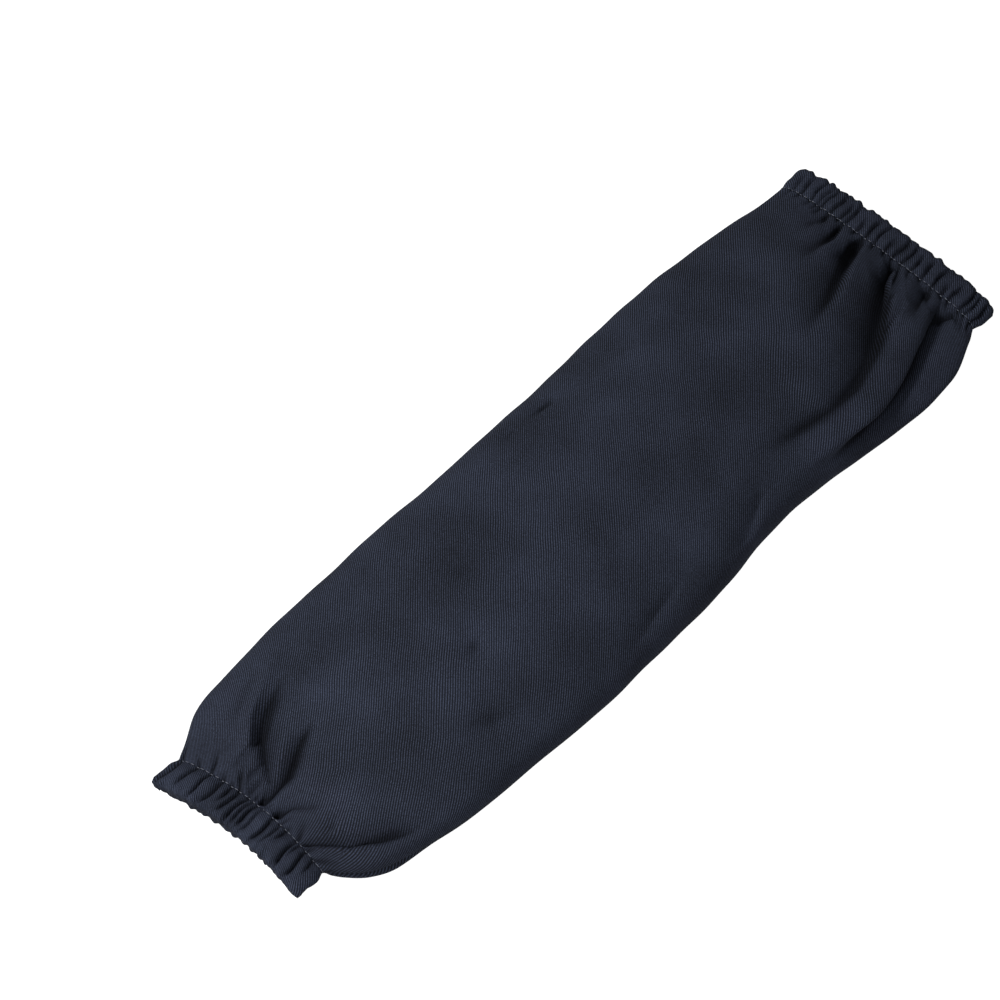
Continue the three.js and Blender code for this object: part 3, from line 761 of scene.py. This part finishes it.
RUFFLE_SHARES = {"outer": 0.7, "rim": 0.5, "lining": 0.5, "along": 0.45}
TILT = (32, 17.0, 0.45)
LINING_CREASE = 0.5
NEAREST_CLOTH = {"hem": 1.25, "rim": 0.8}  # least mm from the ring
RIM_REACH = 2  # mm behind the rim that count as the rim
print(len(HEM_PROFILE), "rows in a hem")


# %% Rows of a hem
def hem_rows(cuff):
    """Rows of a hem from the stitches out to the rim and back along the lining, in mm, and their shade."""
    upper = upper_share(cuff)
    ruffle = soft_waves(TURN * CLOTH_ROUND, np.zeros(COLUMNS), *RUFFLE)
    tilt = soft_waves(TURN * CLOTH_ROUND, np.zeros(COLUMNS), *TILT)
    rows, shade = [], []
    for layer, behind, share, depth_share in HEM_PROFILE:
        at_rim = 1 - ease(behind / HEM_CHANGE)
        cut = crease_cut(cuff, min(0.0, behind - CASING_WIDTH))
        rise = ease((CASING_WIDTH - behind) / HEM_CHANGE)
        crest = stitched_distance(cuff) + upper * rise * (HEM_RISE + TILT_RISE * tilt)
        if layer == "outer":
            rounded = 1 - RIM_ROUNDING["share"] * ease(1 - behind / RIM_ROUNDING["reach"])
            distance = rounded * (crest - upper * mix(*CREASE_DEPTHS, rise) * cut)
            distance = distance + ruffle * at_rim * RUFFLE_SHARES["outer"]
            distance = np.maximum(distance, NEAREST_CLOTH["hem" if behind > RIM_REACH else "rim"])
        elif layer == "rim":
            distance = share * (crest - depth_share * upper * RIM_CREASE_DEPTH * cut)
            distance = distance + ruffle * RUFFLE_SHARES["rim"]
        else:
            ruffled = RUFFLE_SHARES["lining"] * ruffle * at_rim
            distance = -(CHANNEL + SOLID_CLOTH - LINING_CREASE * cut + ruffled)
        drawn_in = at_rim * (RIM_DRAWN_IN * cut - RUFFLE_SHARES["along"] * ruffle + RIM_PLACE)
        rows.append(on_cuff(cuff, behind + drawn_in, distance))
        # painted shade in the hem's creases
        shade.append(cut * upper)
    return np.array(rows), np.array(shade)


hems, hem_shades = {}, {}
for name, cuff in CUFFS.items():
    hems[name], hem_shades[name] = hem_rows(cuff)
    print(name, "hem: lowest point", round(float(hems[name][:, :, 2].min()), 2), "mm above the floor")
tube[0] = hems["wrist"][0]
tube[-1] = hems["arm"][0]

# %% [markdown]
# ## From grids to meshes
# Each grid becomes a mesh of quads that closes round the sleeve. A weave on Object coordinates would run
# straight through every gather. So the mesh's UV map holds the place on the flat cloth in millimetres, and
# the weave follows the cloth as it does on the real sleeve. An attribute holds the painted shade, which
# darkens the cloth's colour.

# %% Grid to mesh
SHIFT = np.array([0.52, -2.54, 0.0])  # the solid model's origin is the middle of its own box


def grid_mesh(name, grid, lengths, shade):
    """A mesh object from rows of points in mm. lengths are the rows' places on the flat cloth, in mm."""
    rows, columns = grid.shape[:2]
    index = np.arange(rows * columns).reshape(rows, columns)
    beside = np.roll(index, -1, 1)
    faces = np.stack([index[:-1], index[1:], beside[1:], beside[:-1]], axis=2).reshape(-1, 4)
    mesh = bpy.data.meshes.new(name)
    mesh.from_pydata(((grid.reshape(-1, 3) + SHIFT) * MM).tolist(), [], faces.tolist())
    column = np.arange(columns)
    across = np.stack([column, column, column + 1, column + 1], axis=1) * (CLOTH_ROUND / columns)
    r = np.arange(rows - 1)
    down = np.stack([lengths[r], lengths[r + 1], lengths[r + 1], lengths[r]], axis=1)
    uv = np.empty((rows - 1, columns, 4, 2))
    uv[:, :, :, 0] = across[None]
    uv[:, :, :, 1] = down[:, None]
    layer = mesh.uv_layers.new(name="cloth_mm")
    layer.data.foreach_set("uv", uv.reshape(-1))
    mesh.attributes.new("painted_shade", "FLOAT", "POINT").data.foreach_set("value", np.ravel(shade))
    mesh.polygons.foreach_set("use_smooth", np.ones(len(faces), bool))
    obj = bpy.data.objects.new(name, mesh)
    bpy.context.scene.collection.objects.link(obj)
    return obj


def bake(obj):
    """Replace an object's mesh by the result of its modifiers."""
    graph = bpy.context.evaluated_depsgraph_get()
    made = bpy.data.meshes.new_from_object(obj.evaluated_get(graph))
    obj.modifiers.clear()
    obj.data = made


def thicken(obj, thickness):
    """Give a sheet its thickness, inwards from the surface that was drawn."""
    solid = obj.modifiers.new("cloth_thickness", "SOLIDIFY")
    solid.thickness = thickness * MM
    solid.offset = -1
    bake(obj)


print("helpers ready")

# %% [markdown]
# ## Navy cotton twill
# The cloth is piece dyed cotton twill of about 300 g/m2, treated against flame. It is matt and hardly
# shines, so its roughness is high and its specular level low. Twill shows fine diagonal ribs. The colour is
# painted lighter on the tops of the ribs and darker in the furrows, which is painted shade, and single yarns
# take the dye a little differently. The ribs could be an image texture, but a sine wave across the flat cloth
# has no pixels and no edge where it repeats.

# %% Materials' helpers
MULTIPLY = {"operation": "MULTIPLY"}
MULTIPLY_ADD = {"operation": "MULTIPLY_ADD"}


def new_material(name):
    """A node material, as its material, its tree and its shader."""
    material = bpy.data.materials.new(name)
    material.use_nodes = True
    return material, material.node_tree, material.node_tree.nodes["Principled BSDF"]


def add(tree, kind, settings=None, **inputs):
    """Add a node with its settings, and link or set its inputs by name, or by number as in i0."""
    node = tree.nodes.new(kind)
    for key, value in (settings or {}).items():
        setattr(node, key, value)
    for key, value in inputs.items():
        socket = node.inputs[int(key[1:])] if key[0] == "i" and key[1:].isdigit() else node.inputs[key]
        if isinstance(value, bpy.types.NodeSocket):
            tree.links.new(value, socket)
        else:
            socket.default_value = value
    return node


print("helpers for materials ready")

# %% The twill
TWILL_ANGLE = math.radians(44)  # of the ribs from the sleeve's length
RIBS_ROUND = 205  # whole, so that ribs nearly meet where the UV map ends
TWILL_PITCH = CLOTH_ROUND * math.cos(TWILL_ANGLE) / RIBS_ROUND  # mm, as coarse as the ribs need to be to show
RIB_HEIGHT = 0.35  # mm
RIB_WAVER = 2.2  # mm that a rib wavers
WAVER_SIZE = 25  # mm along the cloth
YARN_SIZE = 0.625  # mm, of light and dark places in the yarn
CLOUD_SIZE = 40  # mm, of paler and darker places in the dyed cloth
CLOUD_RANGE = 0.35
SHADE_TAKES = 0.85  # share of the colour that full shade takes away


def make_twill():
    material, tree, shader = new_material("navy_cotton_twill")
    cloth = add(tree, "ShaderNodeUVMap", {"uv_map": "cloth_mm"}).outputs[0]
    axes = add(tree, "ShaderNodeSeparateXYZ", i0=cloth)
    u = add(tree, "ShaderNodeMath", MULTIPLY, i0=axes.outputs[0], i1=math.cos(TWILL_ANGLE))
    v = add(tree, "ShaderNodeMath", MULTIPLY, i0=axes.outputs[1], i1=math.sin(TWILL_ANGLE))
    across = add(tree, "ShaderNodeMath", {"operation": "SUBTRACT"}, i0=u.outputs[0], i1=v.outputs[0])
    waver = add(tree, "ShaderNodeTexNoise", Vector=cloth, Scale=1 / WAVER_SIZE, Detail=1.0).outputs[0]
    shifted = add(tree, "ShaderNodeMath", MULTIPLY_ADD, i0=waver, i1=RIB_WAVER, i2=across.outputs[0])
    turns = add(tree, "ShaderNodeMath", MULTIPLY, i0=shifted.outputs[0], i1=2 * math.pi / TWILL_PITCH)
    wave = add(tree, "ShaderNodeMath", {"operation": "SINE"}, i0=turns.outputs[0])
    ribs = add(tree, "ShaderNodeMapRange", i0=wave.outputs[0], i1=-1.0, i2=1.0)
    yarn = add(tree, "ShaderNodeTexNoise", Vector=cloth, Scale=1 / YARN_SIZE, Detail=3.0)
    uneven = add(tree, "ShaderNodeMath", MULTIPLY, i0=ribs.outputs[0], i1=yarn.outputs[0]).outputs[0]
    cloudy = add(tree, "ShaderNodeTexNoise", Vector=cloth, Scale=1 / CLOUD_SIZE, Detail=3.0)
    tone = add(tree, "ShaderNodeMath", MULTIPLY_ADD, i0=cloudy.outputs[0], i1=CLOUD_RANGE, i2=-0.17)
    level = add(tree, "ShaderNodeMath", {"operation": "ADD"}, i0=uneven, i1=tone.outputs[0])
    # the ramp paints the furrows darker than the rib tops as painted shade, with the yarns' and dye's tone on
    # top
    colour = add(tree, "ShaderNodeValToRGB", Fac=level.outputs[0])
    stops = colour.color_ramp.elements
    stops[0].position = 0.0
    stops[0].color = linear("#07080a")
    stops[1].position = 0.75
    stops[1].color = linear("#2b303d")
    stops.new(0.3).color = linear("#12141b")
    bump = add(tree, "ShaderNodeBump", Strength=0.45, Distance=RIB_HEIGHT * MM, Height=uneven)
    # painted shade: the colour is darkened where creases, folds and hollows are deep
    shade = add(tree, "ShaderNodeAttribute", {"attribute_name": "painted_shade"}).outputs["Fac"]
    kept = add(tree, "ShaderNodeMath", MULTIPLY_ADD, i0=shade, i1=-SHADE_TAKES, i2=1.0).outputs[0]
    shaded = add(tree, "ShaderNodeVectorMath", {"operation": "SCALE"}, i0=colour.outputs[0], Scale=kept)
    tree.links.new(shaded.outputs[0], shader.inputs["Base Color"])
    tree.links.new(bump.outputs[0], shader.inputs["Normal"])
    shader.inputs["Roughness"].default_value = 0.92
    shader.inputs["Specular IOR Level"].default_value = 0.03
    return material


twill = make_twill()
print("twill ribs every", round(TWILL_PITCH, 2), "mm")

# %% [markdown]
# ## The three cloth pieces
# The real sleeve is one piece of cloth. It could be one mesh here, but in the solid model the tube and the
# two hems are separate pieces, so each gets its own mesh and its thickness by itself.

# %% Cloth pieces
def lengths_of(rows):
    """Places of rows on the flat cloth, from the distances between them."""
    steps = np.linalg.norm(np.diff(rows, axis=0), axis=2).mean(1)
    return np.concatenate([[0], np.cumsum(steps)])


wrist_rows = hems["wrist"][::-1]
wrist_lengths = lengths_of(wrist_rows) - lengths_of(wrist_rows)[-1]
arm_lengths = lengths_of(hems["arm"]) + BODY_LENGTH
body = grid_mesh("sleeve_cloth", tube, PLACES, tube_shade)
wrist_hem = grid_mesh("wrist_hem", wrist_rows, wrist_lengths, hem_shades["wrist"][::-1])
arm_hem = grid_mesh("arm_hem", hems["arm"], arm_lengths, hem_shades["arm"])
CLOTH_PIECES = [
    (body, "sleeve_body", CLOTH_THICKNESS),
    (wrist_hem, "wrist_cuff", HEM_THICKNESS),
    (arm_hem, "arm_cuff", HEM_THICKNESS),
]
for piece, node, thickness in CLOTH_PIECES:
    thicken(piece, thickness)
    piece.data.materials.clear()
    piece.data.materials.append(twill)
    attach(piece, "root")
    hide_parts(node)
    print(piece.name, len(piece.data.polygons) * 2, "triangles")

# %% [markdown]
# ## Elastic
# Half inch woven elastic: rubber cores under a tight cover of polyester yarn, so its surface shows fine ribs
# along the band. It lies loose in the channel of each hem and is closed in. It could be left out, but
# whoever opens the model up finds it there, so it is a thin closed band through the cuff's ring, with plain
# ribs.

# %% Elastic bands
ELASTIC_WIDTH = 12.7
ELASTIC_THICKNESS = 1.0
ELASTIC_PLAY = 0.3  # mm off the hem's middle, towards the stitches
ELASTIC_RIB = 1.1  # mm from rib to rib


def make_elastic_finish():
    material, tree, shader = new_material("woven_elastic")
    band = add(tree, "ShaderNodeUVMap", {"uv_map": "cloth_mm"}).outputs[0]
    axes = add(tree, "ShaderNodeSeparateXYZ", i0=band)
    turns = add(tree, "ShaderNodeMath", MULTIPLY, i0=axes.outputs[1], i1=2 * math.pi / ELASTIC_RIB)
    rib = add(tree, "ShaderNodeMath", {"operation": "SINE"}, i0=turns.outputs[0])
    # the furrows between the ribs are painted darker than their tops: painted shade
    colour = add(tree, "ShaderNodeValToRGB", Fac=rib.outputs[0])
    colour.color_ramp.elements[0].color = linear("#14161d")
    colour.color_ramp.elements[1].color = linear("#262a38")
    bump = add(tree, "ShaderNodeBump", Strength=0.5, Distance=0.0002, Height=rib.outputs[0])
    tree.links.new(colour.outputs[0], shader.inputs["Base Color"])
    tree.links.new(bump.outputs[0], shader.inputs["Normal"])
    shader.inputs["Roughness"].default_value = 0.8
    return material


elastic_finish = make_elastic_finish()
for name, cuff in CUFFS.items():
    first = (CASING_WIDTH - ELASTIC_WIDTH) / 2 + ELASTIC_PLAY
    last = first + ELASTIC_WIDTH
    half = ELASTIC_THICKNESS / 2
    profile = [(first, half), (last, half), (last, -half), (first, -half), (first, half)]
    rows = np.array([on_cuff(cuff, behind, np.full(COLUMNS, distance)) for behind, distance in profile])
    if cuff["to_rim"] > 0:
        rows = rows[::-1]  # so that its faces point outwards
    band = grid_mesh(name + "_band", rows, lengths_of(rows), np.zeros(rows.shape[:2]))
    weld = band.modifiers.new("weld", "WELD")
    weld.merge_threshold = 0.01 * MM
    bake(band)
    band.data.materials.clear()
    band.data.materials.append(elastic_finish)
    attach(band, "root")
    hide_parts(name + "_elastic")
    print(band.name, len(band.data.polygons), "faces,", round(cuff["round"]), "mm round")

# %% [markdown]
# ## Stitches
# Each hem is held by one line of lockstitch in navy core-spun thread, about 3 mm a stitch, which stands a
# little above the cloth and is a shade lighter than it. Two more lines hold the long seam underneath. The
# stitches could be a pattern in the twill, but thread throws small shadows of its own. So a node group lays
# one small thread at each step along a path, and all the lines come from the same group.

# %% Thread and the stitch group
THREAD_TWIST = 0.4  # mm from one turn of the thread to the next
STITCH_UNEVENNESS = (0.85, 1.1)  # shares of a stitch's length


def make_thread():
    material, tree, shader = new_material("navy_sewing_thread")
    place = add(tree, "ShaderNodeTexCoord").outputs["Object"]
    twist = add(tree, "ShaderNodeTexNoise", Vector=place, Scale=1 / (THREAD_TWIST * MM), Detail=1.0)
    colour = add(tree, "ShaderNodeValToRGB", Fac=twist.outputs[0])
    colour.color_ramp.elements[0].color = linear("#171a23")
    colour.color_ramp.elements[1].color = linear("#252a37")
    tree.links.new(colour.outputs[0], shader.inputs["Base Color"])
    shader.inputs["Roughness"].default_value = 0.55
    return material


def make_stitch_group():
    """Node group that lays threads along a path. Its inputs are the step, the threads' length and thickness
    in metres, the material and the seed of their unevenness."""
    tree = bpy.data.node_groups.new("line_of_stitches", "GeometryNodeTree")
    face = tree.interface
    face.new_socket("Geometry", in_out="INPUT", socket_type="NodeSocketGeometry")
    for title in ("Step", "Length", "Thickness"):
        face.new_socket(title, in_out="INPUT", socket_type="NodeSocketFloat")
    face.new_socket("Thread", in_out="INPUT", socket_type="NodeSocketMaterial")
    face.new_socket("Seed", in_out="INPUT", socket_type="NodeSocketInt")
    face.new_socket("Geometry", in_out="OUTPUT", socket_type="NodeSocketGeometry")
    given = add(tree, "NodeGroupInput").outputs
    path = add(tree, "GeometryNodeMeshToCurve", Mesh=given["Geometry"])
    steps = add(tree, "GeometryNodeResampleCurve", {"mode": "LENGTH"}, Curve=path.outputs[0])
    tree.links.new(given["Step"], steps.inputs["Length"])
    tangent = add(tree, "GeometryNodeInputTangent")
    turn = add(tree, "FunctionNodeAlignEulerToVector", {"axis": "X"}, Vector=tangent.outputs[0])
    thread = add(tree, "GeometryNodeMeshUVSphere", Segments=8, Rings=5, Radius=0.5)
    least, most = STITCH_UNEVENNESS
    uneven = add(tree, "FunctionNodeRandomValue", {"data_type": "FLOAT"}, i2=least, i3=most)
    tree.links.new(given["Seed"], uneven.inputs["Seed"])
    long = add(tree, "ShaderNodeMath", MULTIPLY, i0=given["Length"], i1=uneven.outputs[1])
    size = add(tree, "ShaderNodeCombineXYZ", X=long.outputs[0], Y=given["Thickness"], Z=given["Thickness"])
    laid = add(
        tree,
        "GeometryNodeInstanceOnPoints",
        Points=steps.outputs[0],
        Instance=thread.outputs[0],
        Rotation=turn.outputs[0],
        Scale=size.outputs[0],
    )
    real = add(tree, "GeometryNodeRealizeInstances", Geometry=laid.outputs[0])
    smooth = add(tree, "GeometryNodeSetShadeSmooth", Geometry=real.outputs[0])
    finished = add(tree, "GeometryNodeSetMaterial", Geometry=smooth.outputs[0], Material=given["Thread"])
    add(tree, "NodeGroupOutput", Geometry=finished.outputs[0])
    return tree


thread = make_thread()
stitch_group = make_stitch_group()
print("stitch group has", len(stitch_group.nodes), "nodes")

# %% Lines of stitches
STITCH = {"Step": 3.0, "Length": 2.5, "Thickness": 0.34}
HEM_THREAD_RAISED = 0.05
SEAM_THREAD_LOWERED = 0.1
SEAM_END_ROWS = 5  # rows left free at each end


def sew(name, points, closed, seed):
    """A line of stitches along points in mm."""
    count = len(points)
    edges = [(k, (k + 1) % count) for k in range(count if closed else count - 1)]
    mesh = bpy.data.meshes.new(name)
    mesh.from_pydata(((points + SHIFT) * MM).tolist(), edges, [])
    line = bpy.data.objects.new(name, mesh)
    bpy.context.scene.collection.objects.link(line)
    group = line.modifiers.new("stitches", "NODES")
    group.node_group = stitch_group
    values = {title: size * MM for title, size in STITCH.items()} | {"Thread": thread, "Seed": seed}
    for socket in stitch_group.interface.items_tree:
        if socket.in_out == "INPUT" and socket.name in values:
            group[socket.identifier] = values[socket.name]
    bake(line)
    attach(line, "root")
    print(name, len(line.data.polygons), "faces")


for seed, (name, cuff) in enumerate(CUFFS.items()):
    above_cloth = np.column_stack([np.zeros(COLUMNS), cuff["outward"]]) * HEM_THREAD_RAISED
    sew(name + "_stitches", hems[name][0] + above_cloth, True, seed)
for side, column in zip("ab", SEAM_COLUMNS):
    line = tube[SEAM_END_ROWS:-SEAM_END_ROWS, column] - np.array([0, 0, SEAM_THREAD_LOWERED])
    sew("seam_stitches_" + side, line, False, ord(side))
